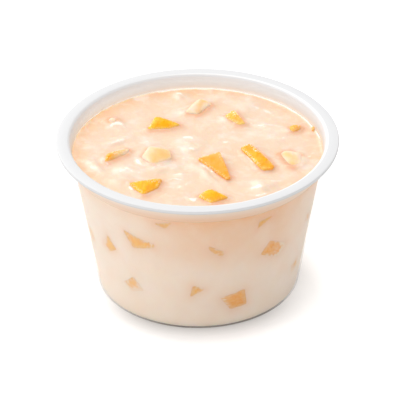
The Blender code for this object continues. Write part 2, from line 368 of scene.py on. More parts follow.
def turning_tree():
    """Geometry Nodes that turn the vertices of a profile about Z."""
    tree = bpy.data.node_groups.new("turn_profile", "GeometryNodeTree")
    face = tree.interface
    for name, kind in (("Profile", "Geometry"), ("Segments", "Int"), ("Finish", "Material")):
        face.new_socket(name, in_out="INPUT", socket_type="NodeSocket" + kind)
    face.new_socket("Turned", in_out="OUTPUT", socket_type="NodeSocketGeometry")

    def add(kind, settings=None, values=None):
        node = tree.nodes.new(kind)
        for name, value in (settings or {}).items():
            setattr(node, name, value)
        for key, value in (values or {}).items():
            if isinstance(value, bpy.types.NodeSocket):
                tree.links.new(value, node.inputs[key])
            else:
                node.inputs[key].default_value = value
        return node.outputs

    def maths(operation, *terms):
        return add("ShaderNodeMath", {"operation": operation}, dict(enumerate(terms)))[0]

    given = add("NodeGroupInput")
    count = add("GeometryNodeAttributeDomainSize", None, {0: given["Profile"]})[0]
    rows = maths("ADD", given["Segments"], 1.0)
    shape = add("GeometryNodeMeshGrid", None,
                {"Size X": 1.0, "Size Y": 1.0, "Vertices X": count, "Vertices Y": rows})[0]
    place = add("GeometryNodeInputPosition")[0]
    split = add("ShaderNodeSeparateXYZ", None, {0: place})
    along = maths("ROUND", maths("MULTIPLY", maths("ADD", split[0], 0.5),
                                 maths("SUBTRACT", count, 1.0)))
    turn = maths("MULTIPLY", maths("ADD", split[1], 0.5), math.tau)
    point = add("GeometryNodeSampleIndex", {"data_type": "FLOAT_VECTOR", "domain": "POINT"},
                {"Geometry": given["Profile"], "Value": place, "Index": along})[0]
    turned = add("ShaderNodeVectorRotate", {"rotation_type": "Z_AXIS"},
                 {"Vector": point, "Angle": turn})[0]
    for kind, values in (("SetPosition", {"Position": turned}),
                         ("MergeByDistance", {"Distance": WELD_REACH}),
                         ("SetShadeSmooth", {}), ("RealizeInstances", {}),
                         ("SetMaterial", {"Material": given["Finish"]})):
        shape = add("GeometryNode" + kind, None, {0: shape, **values})[0]
    add("NodeGroupOutput", None, {0: shape})
    return tree


TURNING = turning_tree()


def baked(form):
    """The mesh that an object's modifiers make of it. The object itself goes."""
    bpy.context.view_layer.update()
    graph = bpy.context.evaluated_depsgraph_get()
    mesh = bpy.data.meshes.new_from_object(form.evaluated_get(graph))
    bpy.data.objects.remove(form, do_unlink=True)
    return mesh


def turned_mesh(name, points, segments, material):
    """A plain mesh of a profile, given as radius and height, turned about Z."""
    profile = bpy.data.meshes.new(name + "_profile")
    profile.from_pydata([(radius, 0.0, height) for radius, height in points],
                        [(index, index + 1) for index in range(len(points) - 1)], [])
    blank = linked(name + "_blank", profile)
    modifier = blank.modifiers.new("turn", "NODES")
    modifier.node_group = TURNING
    sockets = {item.name: item.identifier for item in TURNING.interface.items_tree
               if item.in_out == "INPUT"}
    modifier[sockets["Segments"]] = segments
    modifier[sockets["Finish"]] = material
    mesh = baked(blank)
    clean = bmesh.new()
    clean.from_mesh(mesh)
    bmesh.ops.recalc_face_normals(clean, faces=clean.faces[:])
    if clean.calc_volume(signed=True) < 0:
        bmesh.ops.reverse_faces(clean, faces=clean.faces[:])
    clean.to_mesh(mesh)
    clean.free()
    mesh.materials.clear()
    mesh.materials.append(material)
    mesh.polygons.foreach_set("material_index", [0] * len(mesh.polygons))
    mesh.name = name
    print(name, len(mesh.vertices), "points", len(mesh.polygons), "faces")
    return mesh


# %% [markdown]
# ## Rounded corners
# No moulded edge is sharp. A profile is written as a few corners, each with a rounding, and a
# function swaps each corner for an arc that touches both of its sides.

# %% Round the corners of a profile
ARC_STEPS = 6


def rounded_profile(corners):
    """Points of a profile whose corners are given as radius, height and rounding."""
    points = []
    for index, (radius, height, rounding) in enumerate(corners):
        corner = Vector((radius, height))
        if rounding == 0:
            points.append(tuple(corner))
            continue
        before = (Vector(corners[index - 1][:2]) - corner).normalized()
        after = (Vector(corners[index + 1][:2]) - corner).normalized()
        half_angle = before.angle(after) / 2
        reach = rounding / math.tan(half_angle)
        centre = corner + (before + after).normalized() * (rounding / math.sin(half_angle))
        start = corner + before * reach - centre
        end = corner + after * reach - centre
        sweep = start.angle_signed(end)
        for step in range(ARC_STEPS + 1):
            turn = -sweep * step / ARC_STEPS
            points.append((centre.x + start.x * math.cos(turn) - start.y * math.sin(turn),
                           centre.y + start.x * math.sin(turn) + start.y * math.cos(turn)))
    return points


# %% [markdown]
# ## The pot
# The real pot is milky plastic, half a millimetre thick. Where cream touches it, the plastic
# all but vanishes and shows the cream and the fruit. Above the filling it looks white. One
# material can do both, once soft masks tell the places of the pot apart.

# %% Masks for the places of the pot
def pot_places(sheet):
    """Sockets from 0 to 1 that say where on the pot a point lies, and how it is seen."""
    height = sheet.part("Z")
    radius = sheet.radius()
    mouth = inner_radius(RIM_TOP)
    lip = height.ramp(RIM_TOP - 0.35 * MM, RIM_TOP - 0.1 * MM)
    flange = radius.ramp(mouth + 0.5 * MM, mouth + 0.9 * MM)
    rim = (lip + flange).clamp()
    behind = sheet.add("ShaderNodeNewGeometry", out="Backfacing")
    wall_middle = height * GROWTH_PER_HEIGHT + (OUTER_RADIUS_AT_FOOT - 0.5 * WALL)
    outer = (radius - wall_middle).ramp(-0.05 * MM, 0.05 * MM)
    far_face = outer * behind
    from_outside = (outer + behind - far_face * 2.0) * (1.0 - rim)
    dry_inside = height.ramp(CREAM_LEVEL - 0.4 * MM, CREAM_LEVEL + 0.9 * MM)
    dry_outside = height.ramp(CREAM_LEVEL - 1.3 * MM, CREAM_LEVEL - 1.1 * MM)
    to_right = sheet.part("X")
    # Where along the front the painted foot shadow is strong.
    foot_shade_span = to_right.ramp(-26 * MM, -6 * MM) * (1.0 - to_right.ramp(17 * MM, 26 * MM))
    return SimpleNamespace(
        height=height, radius=radius, to_right=to_right, lip=lip, flange=flange, rim=rim,
        off_rim=1.0 - rim, far_face=far_face, from_outside=from_outside,
        dry=dry_inside + from_outside * (dry_outside - dry_inside),
        upper=height.ramp(RIM_TOP - 2.4 * MM, RIM_TOP - 0.6 * MM),
        foot_shade=(1.0 - height.ramp(0.08 * MM, 0.3 * MM)) * (foot_shade_span * 0.85 + 0.1))


# %% [markdown]
# ## How milky it is
# The alpha rises above the filling, most where the outer face is seen from outside. Against the
# cream it stays under a quarter even at the pot's edges, so no fringe shows there.

# %% Alpha of the plastic
CLEAR_WHERE_WET = 0.14
MILKY_WHERE_DRY = 0.76
MILKY_FROM_OUTSIDE = 0.95
MILKY_FAR_FACE = 0.32
MILKY_RIM = 1.0


def plastic_alpha(sheet, at):
    """Nearly clear against the cream, milky above it."""
    facing = sheet.add("ShaderNodeLayerWeight", values={"Blend": 0.5}, out="Facing")
    milk = MILKY_WHERE_DRY - at.from_outside * (MILKY_WHERE_DRY - MILKY_FROM_OUTSIDE)
    milk = milk - at.far_face * (MILKY_WHERE_DRY - MILKY_FAR_FACE)
    alpha = CLEAR_WHERE_WET + at.dry * (milk - CLEAR_WHERE_WET)
    alpha = alpha + at.upper * at.off_rim * 0.2
    alpha = alpha + facing ** 2.5 * (at.dry * 0.37 + 0.08)
    alpha = alpha + at.rim * (MILKY_RIM - MILKY_WHERE_DRY)
    # The painted foot shadow is made opaque.
    return (alpha + at.foot_shade * 0.6).clamp()


# %% [markdown]
# ## Its colour
# Just above the filling the inside glows peach with painted light from the cream, and the outside
# has an amber band in painted shade under the rim. A thin dark line of painted shadow at the foot
# is where the pot meets the table.

# %% Colour of the plastic
PLASTIC_WHITES = ((0.755, 0.755, 0.765), (0.775, 0.775, 0.775))
INSIDE_LEFT_LIT = (0.90, 0.885, 0.87)
LIP_HIGHLIGHT = (0.97, 0.965, 0.96)
RIM_EDGE_SHADE = (0.58, 0.57, 0.56)
WET_VEIL = (0.85, 0.78, 0.73)
FOOT_SHADOW = (0.20, 0.10, 0.03)
BOUNCE_PEACH_RIGHT = (0.71, 0.575, 0.455)
BOUNCE_PEACH_LEFT = (0.87, 0.775, 0.65)
BRIM_GLOW = (0.88, 0.65, 0.42)
BAND_LOW = ((0.80, 0.62, 0.48), (0.78, 0.51, 0.34))
BAND_HIGH = ((0.84, 0.71, 0.63), (0.81, 0.64, 0.51))
BAND_NARROWNESS = 38.0  # one over half its width of 26.3 mm
UPPER_WALL_LIT = (0.83, 0.84, 0.86)


def shaded_amber_band(sheet, at):
    """The colour under the rim from outside: cream in painted shade, deepest in the middle, paler
    towards the rim.
    """
    share = at.to_right * BAND_NARROWNESS
    middle_shade = (1.0 - share * share).clamp()
    rise = at.height.ramp(CREAM_LEVEL - 1.0 * MM, CREAM_LEVEL + 1.3 * MM)
    return sheet.mix(rise, sheet.mix(middle_shade, *BAND_LOW), sheet.mix(middle_shade, *BAND_HIGH))


def plastic_colour(sheet, at, haze):
    """White, tinted by the cream near it, with a painted highlight on the lip and painted shade on
    the outer edge.
    """
    colour = sheet.mix(haze, *PLASTIC_WHITES)
    # Painted light: the inner wall towards the left is lighter.
    lit_left = 1.0 - at.to_right.ramp(-30 * MM, -8 * MM)
    colour = sheet.mix(lit_left * at.off_rim * (1.0 - at.from_outside) * 0.6, colour, INSIDE_LEFT_LIT)
    # Painted highlight along the lip, stronger towards the right.
    lip_highlight_share = at.to_right.ramp(-22 * MM, 4 * MM) * 0.75 + 0.15
    colour = sheet.mix(at.lip * (1.0 - at.flange) * lip_highlight_share, colour, LIP_HIGHLIGHT)
    # Painted shade on the rim's outer edge, darkest on its underside.
    brink = at.radius.ramp(RIM_RADIUS - 0.35 * MM, RIM_RADIUS - 0.1 * MM)
    under = 1.0 - at.height.ramp(RIM_TOP - 0.75 * MM, RIM_TOP - 0.35 * MM)
    colour = sheet.mix(brink * (under * 0.55 + 0.25), colour, RIM_EDGE_SHADE)
    colour = sheet.mix((1.0 - at.dry) * at.off_rim, colour, WET_VEIL)
    # Painted shadow: a thin dark line at the foot, where it meets the table.
    colour = sheet.mix(at.foot_shade, colour, FOOT_SHADOW)
    # Painted light: warm light thrown back from the cream onto the dry wall just above it, lighter
    # at the left.
    peach = sheet.mix(lit_left, BOUNCE_PEACH_RIGHT, BOUNCE_PEACH_LEFT)
    dry_wall = at.dry * at.off_rim * 0.8
    bounce_share = 1.0 - at.height.ramp(CREAM_LEVEL, CREAM_LEVEL + 3.2 * MM)
    colour = sheet.mix(bounce_share * dry_wall, colour, peach)
    # Painted reflection: an amber glow of the cream on the wall right above it.
    brim_glow_share = 1.0 - at.height.ramp(CREAM_LEVEL, CREAM_LEVEL + 1.5 * MM)
    colour = sheet.mix(brim_glow_share * dry_wall, colour, BRIM_GLOW)
    # The band stands for cream seen through the wall, with painted shade under the rim.
    colour = sheet.mix(at.from_outside * at.dry, colour, shaded_amber_band(sheet, at))
    # Painted light: the wall just under the rim is lighter, hiding the shade seen through it.
    return sheet.mix(at.upper * at.off_rim, colour, UPPER_WALL_LIT)


# %% Milky plastic
def milky_plastic():
    """Thin milky plastic with a faint haze in its gloss."""
    sheet = Sheet("milky_plastic")
    at = pot_places(sheet)
    haze = sheet.grain(9 * MM, 2.0)
    return sheet.finish(base_color=plastic_colour(sheet, at, haze), alpha=plastic_alpha(sheet, at),
                        roughness=0.40 + haze * 0.08, ior=1.49)


PLASTIC = milky_plastic()
print("plastic ready")

# %% Turn the pot
POT_SEGMENTS = 256
rim_underside = RIM_TOP - RIM_THICKNESS
pot_profile = rounded_profile((
    (0.0, RECESS_HEIGHT + FLOOR_THICKNESS, 0),
    (RECESS_RADIUS, RECESS_HEIGHT + FLOOR_THICKNESS, 0),
    (RECESS_RADIUS + RECESS_SLOPE, FLOOR_THICKNESS, 0),
    (inner_radius(FLOOR_THICKNESS), FLOOR_THICKNESS, FLOOR_ROUND),
    (inner_radius(RIM_TOP), RIM_TOP, MOUTH_ROUND),
    (RIM_RADIUS, RIM_TOP, RIM_EDGE_ROUND),
    (RIM_RADIUS, rim_underside, RIM_EDGE_ROUND),
    (outer_radius(rim_underside), rim_underside, RIM_ROOT_ROUND),
    (outer_radius(0.0), 0.0, FOOT_ROUND),
    (RECESS_RADIUS + RECESS_SLOPE, 0.0, 0),
    (RECESS_RADIUS, RECESS_HEIGHT, 0),
    (0.0, RECESS_HEIGHT, 0),
))
pot = linked("pot_shell", turned_mesh("pot_shell", pot_profile, POT_SEGMENTS, PLASTIC))
pot.data.set_sharp_from_angle(angle=math.radians(40))
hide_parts("pot")
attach(pot, "root")
pot.visible_shadow = False

# %% [markdown]
# ## The shape of the cream's surface
# Fromage frais is stiff enough to keep the folds of the spoon and the lumps of fruit under it.
# Each lump is a small bell, and each fold is a ridge along a bent line that fades at its ends.
# Where a dice breaks the surface, the cream climbs its sides a little.

# %% Lumps and folds, in millimetres
# Lumps are x, y, spread and rise. Folds and swirls are start, bend, end, width and strength.
LUMPS = (
    (-2.0, 3.8, 4.4, 0.7), (-18.9, -9.5, 4.4, 0.5), (-20.0, -15.0, 3.6, 0.5),
    (17.0, -17.8, 4.6, 0.9), (-3.7, -13.0, 3.2, 0.35), (-20.8, 13.2, 3.2, 0.4),
    (-4.8, 29.2, 2.4, 0.5), (20.5, 6.5, 4.5, 0.5), (14.0, 24.0, 5.0, 0.5),
)
FOLDS = (
    ((13.0, 4.5), (18.0, -3.0), (26.0, -13.5), 1.5, 0.55),
    ((12.5, 13.0), (23.0, 14.5), (26.5, 2.5), 1.5, 0.5),
    ((12.5, 17.0), (19.0, 15.0), (25.0, 16.0), 1.3, 0.35),
    ((-1.5, -5.5), (0.0, -12.0), (6.5, -16.5), 1.4, 0.55),
    ((-16.0, -11.5), (-10.0, -9.5), (-3.0, -8.5), 1.6, 0.5),
    ((-26.5, 3.0), (-21.0, 6.0), (-15.5, 6.5), 1.8, 0.6),
    ((-30.0, -2.5), (-27.5, -6.5), (-25.0, -12.0), 1.6, 0.4),
)
# The swirls mark pale streaks of cream, which also carry painted highlights.
SWIRLS = (
    ((-23.7, 11.5), (-22.1, 16.2), (-19.5, 11.8), 0.8, 1),
    ((-24.4, 1.5), (-22.2, 5.2), (-18.8, 5.7), 0.8, 0.6),
    ((-24.2, -3.9), (-24.7, -6.5), (-23.3, -7.3), 0.45, 0.9),
    ((-21.6, -11.4), (-19.2, -8.2), (-14.5, -12.5), 1.3, 0.6),
    ((-29.9, -5.1), (-27.4, -9.0), (-23.1, -12.0), 1.2, 0.45),
    ((-16.0, -2.5), (-16.5, -6.1), (-14.1, -7.7), 0.5, 1),
    ((-11.0, -7.7), (-10.0, -8.4), (-9.2, -7.5), 0.3, 0.9),
    ((-6.1, 4.6), (-3.0, 8.1), (0.8, 5.1), 0.8, 0.8),
    ((-4.7, 1.9), (-2.0, -0.6), (0.8, 1.8), 0.7, 0.9),
    ((3.4, 6.4), (6.7, 3.5), (10.4, 4.3), 0.8, 0.4),
    ((-10.7, -0.6), (-3.4, -3.7), (1.3, -5.3), 0.9, 0.4),
    ((-7.6, -13.1), (-4.7, -11.4), (-1.9, -12.7), 0.5, 0.5),
    ((-8.2, -15.4), (-6.2, -13.2), (-3.6, -15.2), 0.35, 0.7),
    ((-10.5, -16.6), (-5.9, -21.0), (-1.1, -15.4), 1.1, 0.4),
    ((-2.6, -22.9), (-1.3, -26.3), (0.9, -23.9), 0.55, 1),
    ((-18.1, -16.2), (-17.8, -19.2), (-16.2, -21.2), 0.5, 0.9),
    ((12.8, -20.6), (15.5, -17.9), (17.8, -20.1), 0.8, 0.7),
    ((13.5, -22.1), (16.1, -23.7), (18.2, -21.3), 0.6, 0.6),
    ((16.3, -15.0), (20.2, -17.2), (23.9, -14.5), 0.8, 0.4),
    ((11.6, 15.3), (17.0, 13.2), (21.3, 8.6), 0.8, 0.7),
    ((14.2, 11.9), (19.0, 14.5), (24.0, 10.4), 0.7, 0.5),
    ((16.2, 7.6), (20.8, 4.2), (28.0, 7.4), 0.9, 0.35),
    ((13.1, 23.9), (17.9, 22.7), (23.5, 15.3), 0.9, 0.45),
    ((-7.0, 28.9), (-5.3, 31.4), (-3.3, 28.9), 0.6, 0.9),
    ((12.0, 1.0), (13.1, -5.7), (15.9, -8.6), 0.4, 0.9),
    ((0.9, -6.8), (3.2, -10.7), (6.0, -14.0), 0.45, 0.9),
    ((27.1, -5.9), (30.0, -3.1), (31.5, 0.8), 0.8, 0.5),
    ((-16.1, 4.0), (-12.8, 5.6), (-8.1, 3.9), 0.9, 0.4),
    ((-13.9, -10.2), (-9.3, -7.7), (-4.7, -10.3), 1, 0.45),
)
FOLD_SAMPLES = 24
MENISCUS_HEIGHT = 0.35
MENISCUS_WIDTH = 0.8


def fold_heights(x, y, fold):
    """Heights of one fold over arrays of places."""
    start, bend, end, width, height = fold
    best = np.zeros_like(x)
    for step in range(FOLD_SAMPLES + 1):
        along = step / FOLD_SAMPLES
        back = 1 - along
        px, py = (back * back * start[axis] + 2 * back * along * bend[axis]
                  + along * along * end[axis] for axis in (0, 1))
        fade = math.sin(math.pi * min(max(along, 0.08), 0.92))
        best = np.maximum(best, fade * np.exp(-((x - px) ** 2 + (y - py) ** 2) / width ** 2))
    return height * best


def relief(x, y):
    """Height of the cream over its level, in millimetres, without what the fruit does to it."""
    height = np.zeros_like(x)
    for lump_x, lump_y, spread, rise in LUMPS:
        distance = np.hypot(x - lump_x, y - lump_y)
        height += rise * np.exp(-(1.5 * distance / spread) ** 2)
    for fold in FOLDS:
        height += fold_heights(x, y, fold)
    edge = inner_radius(CREAM_LEVEL) / MM
    from_wall = np.maximum(edge - np.hypot(x, y), 0.0)
    return height + MENISCUS_HEIGHT * np.exp(-from_wall / MENISCUS_WIDTH)


def smoothstep(low, high, values):
    """0 at low, 1 at high, smooth between."""
    share = np.clip((values - low) / (high - low), 0.0, 1.0)
    return share * share * (3 - 2 * share)


def strokes(x, y):
    """How much of the pale streaks, painted partly as highlights along the folds, lies at each
    place, from 0 to 1.
    """
    best = np.zeros_like(x)
    for swirl in SWIRLS:
        best = np.maximum(best, fold_heights(x, y, swirl))
    return best


def ripple(x, y, size, seed):
    """Soft random ripples of a size in millimetres, from -1 to 1."""
    return np.array([noise.noise(Vector((px / size, py / size, seed))) for px, py in zip(x, y)])


# %% [markdown]
# ## Reading the fruit of the frame
# Each dice is a solid of the frame. We keep a search tree of all of them, to ask how far any
# point of the cream lies from the nearest fruit.

# %% Gather the dice
TOP_DICE = sorted(name for name in frame["nodes"] if name.startswith("fruit_top_"))
WALL_DICE = sorted(name for name in frame["nodes"] if name.startswith("fruit_wall_"))
FAINT_DICE = ["fruit_wall_u", "fruit_wall_v", "fruit_wall_w", "fruit_wall_back_10"]


def merged_mesh(node):
    """A copy of a node's mesh with its loose triangles joined."""
    source = bpy.data.objects[node]
    form = bmesh.new()
    form.from_mesh(source.data)
    bmesh.ops.remove_doubles(form, verts=form.verts[:], dist=WELD_REACH)
    mesh = bpy.data.meshes.new(node + "_copy")
    form.to_mesh(mesh)
    form.free()
    return mesh


def search_tree(nodes):
    """A search tree over the meshes of some nodes."""
    verts = []
    faces = []
    for node in nodes:
        mesh = merged_mesh(node)
        start = len(verts)
        verts += [vertex.co.copy() for vertex in mesh.vertices]
        faces += [[start + index for index in face.vertices] for face in mesh.polygons]
    return BVHTree.FromPolygons(verts, faces)


TOP_TREE = search_tree(TOP_DICE)
WALL_TREE = search_tree([name for name in WALL_DICE if name not in FAINT_DICE])
FAINT_TREE = search_tree(FAINT_DICE)
print(len(TOP_DICE), "dice in the top,", len(WALL_DICE), "at the wall")

# %% [markdown]
# ## The cream's finish
# The cream is peach coloured and wet. Light goes into it and comes out again a little way off,
# so it gets some subsurface. Near fruit and near the wall the peach is deeper.

# %% Cream materials
CREAM_PALE = (0.885, 0.705, 0.552)
CREAM_DEEP = (0.885, 0.60, 0.375)
FRUIT_TINT = (0.90, 0.40, 0.19)
SIDE_PALE = (0.875, 0.755, 0.63)
SIDE_DEEP = (0.83, 0.44, 0.18)
SIDE_TINT = (0.86, 0.44, 0.24)
BLUSH = (0.90, 0.68, 0.545)
SWIRL_PALE = (0.93, 0.80, 0.68)
VEIN_PALE = (0.94, 0.82, 0.71)
STREAK_HIGHLIGHT = (0.99, 0.94, 0.87)
STREAK_HIGHLIGHT_GLOW = (0.09, 0.085, 0.075)


def cream_finish(name, pale, deep, fruit_tint, gloss, sheen, marbling):
    """Peach cream, deeper where the mesh is painted so, tinted orange near the fruit, with painted
    highlights.
    """
    sheet = Sheet(name)
    cloud = sheet.grain(7 * MM, 3.0)
    swirl = sheet.swirl(7 * MM, 3 * MM, 3.0).ramp(0.50, 0.75)
    vein = sheet.swirl(2.6 * MM, 2.2 * MM, 4.0).ramp(0.48, 0.68)
    wisp = sheet.swirl(0.9 * MM, 1.4 * MM, 4.0)
    painted_streak = sheet.painted("highlight_streak")
    crisp = (painted_streak * 1.2 + (wisp - 0.5) * 1.1).ramp(0.30, 0.80)
    highlight_streak = (painted_streak * 0.35 + crisp * 0.5).clamp()
    blush = sheet.grain(10 * MM, 2.0).ramp(0.45, 0.70)
    # The painted depth carries painted shade and light as well as the peach tone.
    tone = (sheet.painted("depth") + (cloud - 0.5) * 0.35).clamp()
    colour = sheet.mix(tone, pale, deep)
    colour = sheet.mix(blush * marbling * 0.25, colour, BLUSH)
    colour = sheet.mix(sheet.painted("fruit_tint"), colour, fruit_tint)
    colour = sheet.mix(swirl * marbling, colour, SWIRL_PALE)
    colour = sheet.mix(vein * marbling * 0.38, colour, VEIN_PALE)
    # Painted highlights: the pale streaks are mixed towards near white and give off a little
    # light.
    colour = sheet.mix(highlight_streak, colour, STREAK_HIGHLIGHT)
    skin = sheet.grain(1.5 * MM, 4.0) + wisp * painted_streak * 0.8
    highlight_glow = sheet.mix(highlight_streak, BLACK, STREAK_HIGHLIGHT_GLOW)
    return sheet.finish(base_color=colour, emission_color=highlight_glow, emission_strength=1.0,
                        roughness=gloss + cloud * 0.08,
                        normal=sheet.bump(skin, 0.07 * MM), ior=1.40,
                        subsurface_weight=0.5, subsurface_scale=0.0018,
                        subsurface_radius=(1.0, 0.55, 0.3), sheen_weight=sheen)


CREAM_TOP = cream_finish("fromage_frais_top", CREAM_PALE, CREAM_DEEP, FRUIT_TINT,
                         gloss=0.27, sheen=0.0, marbling=0.8)
CREAM_SIDE = cream_finish("fromage_frais_at_wall", SIDE_PALE, SIDE_DEEP, SIDE_TINT,
                          gloss=0.5, sheen=0.1, marbling=0.15)
print("cream materials ready")

# %% [markdown]
# ## The filling
# The filling is turned like the pot, with rings close enough to carry its folds, and then its
# top is raised point by point. Its side reaches a hair into the wall, so no air gap shows.

# %% Turn the filling
CREAM_SEGMENTS = 460
TOP_RINGS = 112
SIDE_RINGS = 84
INTO_WALL = 0.12 * MM
INTO_FLOOR = 0.35 * MM
CREAM_FOOT_ROUND = 0.15 * MM
EDGE_CROWDING = 1.35


def side_radius(height):
    """Radius of the filling's side, which reaches just into the wall."""
    return inner_radius(height) + INTO_WALL


def cream_profile():
    """Centre of the top, out to the wall, down the side and back to the axis."""
    edge = side_radius(CREAM_LEVEL)
    bottom = FLOOR_THICKNESS - INTO_FLOOR
    points = []
    for ring in range(TOP_RINGS + 1):
        share = 1 - (1 - ring / TOP_RINGS) ** EDGE_CROWDING
        points.append((edge * share, CREAM_LEVEL))
    turn_height = bottom + 2 * CREAM_FOOT_ROUND
    for ring in range(1, SIDE_RINGS + 1):
        height = CREAM_LEVEL + (turn_height - CREAM_LEVEL) * ring / SIDE_RINGS
        points.append((side_radius(height), height))
    foot = rounded_profile((
        (side_radius(turn_height), turn_height, 0),
        (side_radius(bottom), bottom, CREAM_FOOT_ROUND),
        (RECESS_RADIUS + RECESS_SLOPE, bottom, 0),
        (RECESS_RADIUS, bottom + RECESS_HEIGHT, 0),
        (0.0, bottom + RECESS_HEIGHT, 0),
    ))
    return points + foot[1:]


cream_mesh = turned_mesh("cream_filling", cream_profile(), CREAM_SEGMENTS, CREAM_TOP)
cream_mesh.materials.append(CREAM_SIDE)

# %% Read, write and paint the points of a mesh
def read_points(mesh, what="co"):
    """The mesh's points, or their normals, as an array of rows."""
    flat = np.empty(len(mesh.vertices) * 3)
    mesh.vertices.foreach_get(what, flat)
    return flat.reshape(-1, 3)


def write_points(mesh, points):
    """Put an array of rows back as the mesh's points."""
    mesh.vertices.foreach_set("co", points.reshape(-1))
    mesh.update()


def paint(mesh, name, values):
    """Store one value for each point, for a material to read."""
    layer = mesh.attributes.new(name, "FLOAT", "POINT")
    layer.data.foreach_set("value", np.asarray(values, dtype=np.float32))


# %% Raise the top
CLIMB_HEIGHT = 0.42
CLIMB_WIDTH = 0.75
SEARCH_REACH = 4.0 * MM
SPREAD_BY = 0.80
WANDER = 1.1


def fading(away, start, width):
    """1 up to a distance from the fruit, and fading beyond it."""
    return np.exp(-np.maximum(away - start, 0.0) / width)


def fine_relief(x, y):
    """The relief with wandering outlines, small ripples and raised streaks."""
    bent_x = x + WANDER * ripple(x, y, 3.5, 7.7)
    bent_y = y + WANDER * ripple(x, y, 3.5, 2.2)
    height = 0.9 * relief(bent_x, bent_y) + 0.16 * strokes(bent_x, bent_y)
    return (height + 0.14 * ripple(x, y, 6.5, 1.7) + 0.08 * ripple(x, y, 2.6, 4.1)
            + 0.03 * ripple(x, y, 1.1, 9.4))


def fruit_away(tree, places):
    """How far each place is from a tree's fruit, in millimetres and within the reach."""
    found = [tree.find_nearest(place, SEARCH_REACH)[3] for place in places]
    return np.array([SEARCH_REACH if away is None else away for away in found]) / MM


def cream_surface(x, y):
    """Height of the finished top in millimetres, and how far each place is from the fruit."""
    height = CREAM_LEVEL / MM + fine_relief(x, y)
    away = fruit_away(TOP_TREE, [Vector(place) * MM for place in zip(x, y, height)])
    return height + CLIMB_HEIGHT * fading(away, SPREAD_BY, CLIMB_WIDTH), away


points = read_points(cream_mesh)
is_top = points[:, 2] > CREAM_LEVEL - 0.005 * MM
top_x = points[is_top, 0] / MM
top_y = points[is_top, 1] / MM
top_height, top_away = cream_surface(top_x, top_y)
points[is_top, 2] = top_height * MM
write_points(cream_mesh, points)
print("cream top from", round(top_height.min(), 2), "to", round(top_height.max(), 2), "mm")

# %% [markdown]
# ## Painting the cream
# The cream is tinted orange round the fruit. It has painted shade in hollows, at the front and
# under the rim, a deeper tone towards the wall, painted light through the wall at the left, and
# pale streaks with painted highlights. Each becomes a value on the mesh's points.

# %% Orange tint round the fruit
TOP_TINT = 0.70
WALL_TINT = 0.50
FAINT_TINT = 0.12
side_points = [Vector(point) for point in points[~is_top]]
wall_tint = WALL_TINT * fading(fruit_away(WALL_TREE, side_points), 0.5, 1.0)
faint_tint = FAINT_TINT * fading(fruit_away(FAINT_TREE, side_points), 0.42, 0.9)
fruit_tint = np.zeros(len(points))
fruit_tint[is_top] = TOP_TINT * fading(top_away, SPREAD_BY, 1.0)
fruit_tint[~is_top] = np.maximum(wall_tint, faint_tint)
print("fruit_tinted points:", int((fruit_tint > 0.3).sum()))

# %% Deeper peach near the wall, painted light through it at the left, painted shade in hollows and under the rim
cream_edge = inner_radius(CREAM_LEVEL) / MM
from_axis = np.hypot(top_x, top_y)
edge_x = top_x / np.hypot(top_x, top_y + 1e-9)
edge_y = top_y / np.hypot(top_x, top_y + 1e-9)


def top_depth_and_shade():
    """Painted shade in hollows, deeper towards the wall, and painted light where it comes through
    the wall at the left.
    """
    rim_share = np.clip((from_axis / cream_edge - 0.80) / 0.2, 0, 1)
    hollow_shade = 0.35 - (top_height - CREAM_LEVEL / MM)
    depth = np.clip(0.2 + 0.5 * hollow_shade + 0.55 * rim_share ** 2, 0, 1)
    glow_side = smoothstep(0.1, 0.8, 0.5 * edge_y - 0.85 * edge_x)
    near_wall = np.exp(-((cream_edge - from_axis) / 3.6) ** 2)
    return np.clip(depth + 0.5 * glow_side * near_wall, 0, 1)


def side_depth_and_shade(x, height):
    """Painted shade: deeper under the rim, and up the middle and right of the front, which lie in
    shade.
    """
    high_share = np.clip((height - 31.0) / 7.0, 0, 1) ** 1.5
    shaded = smoothstep(-22.0, 2.0, x) * (1 - 0.65 * smoothstep(20.0, 32.0, x))
    rise = 0.07 * smoothstep(2.0, 14.0, height) + 0.42 * smoothstep(15.0, 32.0, height)
    return 0.07 + 0.36 * high_share + shaded * (rise + 0.12 * high_share)


depth = np.zeros(len(points))
depth[is_top] = top_depth_and_shade()
depth[~is_top] = side_depth_and_shade(points[~is_top, 0] / MM, points[~is_top, 2] / MM)
print("mean depth on top", round(depth[is_top].mean(), 2))

# %% Pale streaks with painted highlights, and a painted highlight line along the wall
def top_streaks_and_highlights():
    """Torn pale streaks with painted highlights that stop at the fruit, and a painted highlight
    line at the lit edge.
    """
    torn = 0.55 + 0.9 * ripple(top_x, top_y, 1.3, 3.3) + 0.5 * ripple(top_x, top_y, 3.1, 6.1)
    highlight_streak = np.clip(strokes(top_x, top_y) * (0.35 + torn), 0, 1)
    highlight_streak *= smoothstep(0.3, 1.2, top_away) * 0.6 + 0.4
    # Painted highlight: a thin bright line along the wall at the back right, where light catches
    # the meniscus.
    lit_side = 0.9 * smoothstep(0.45, 0.78, 0.50 * edge_x + 0.866 * edge_y)
    return np.maximum(highlight_streak, lit_side * np.exp(-((cream_edge - from_axis) / 0.45) ** 2))


highlight_streak = np.zeros(len(points))
highlight_streak[is_top] = top_streaks_and_highlights()
paint(cream_mesh, "highlight_streak", highlight_streak)
paint(cream_mesh, "fruit_tint", fruit_tint)
paint(cream_mesh, "depth", depth)

# %% Put the filling in place
SIDE_STARTS = CREAM_LEVEL - 0.3 * MM
for face in cream_mesh.polygons:
    face.material_index = 1 if face.center.z < SIDE_STARTS else 0
cream = linked("cream_filling", cream_mesh)
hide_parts("fromage_frais")
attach(cream, "root")
print("filling ready")

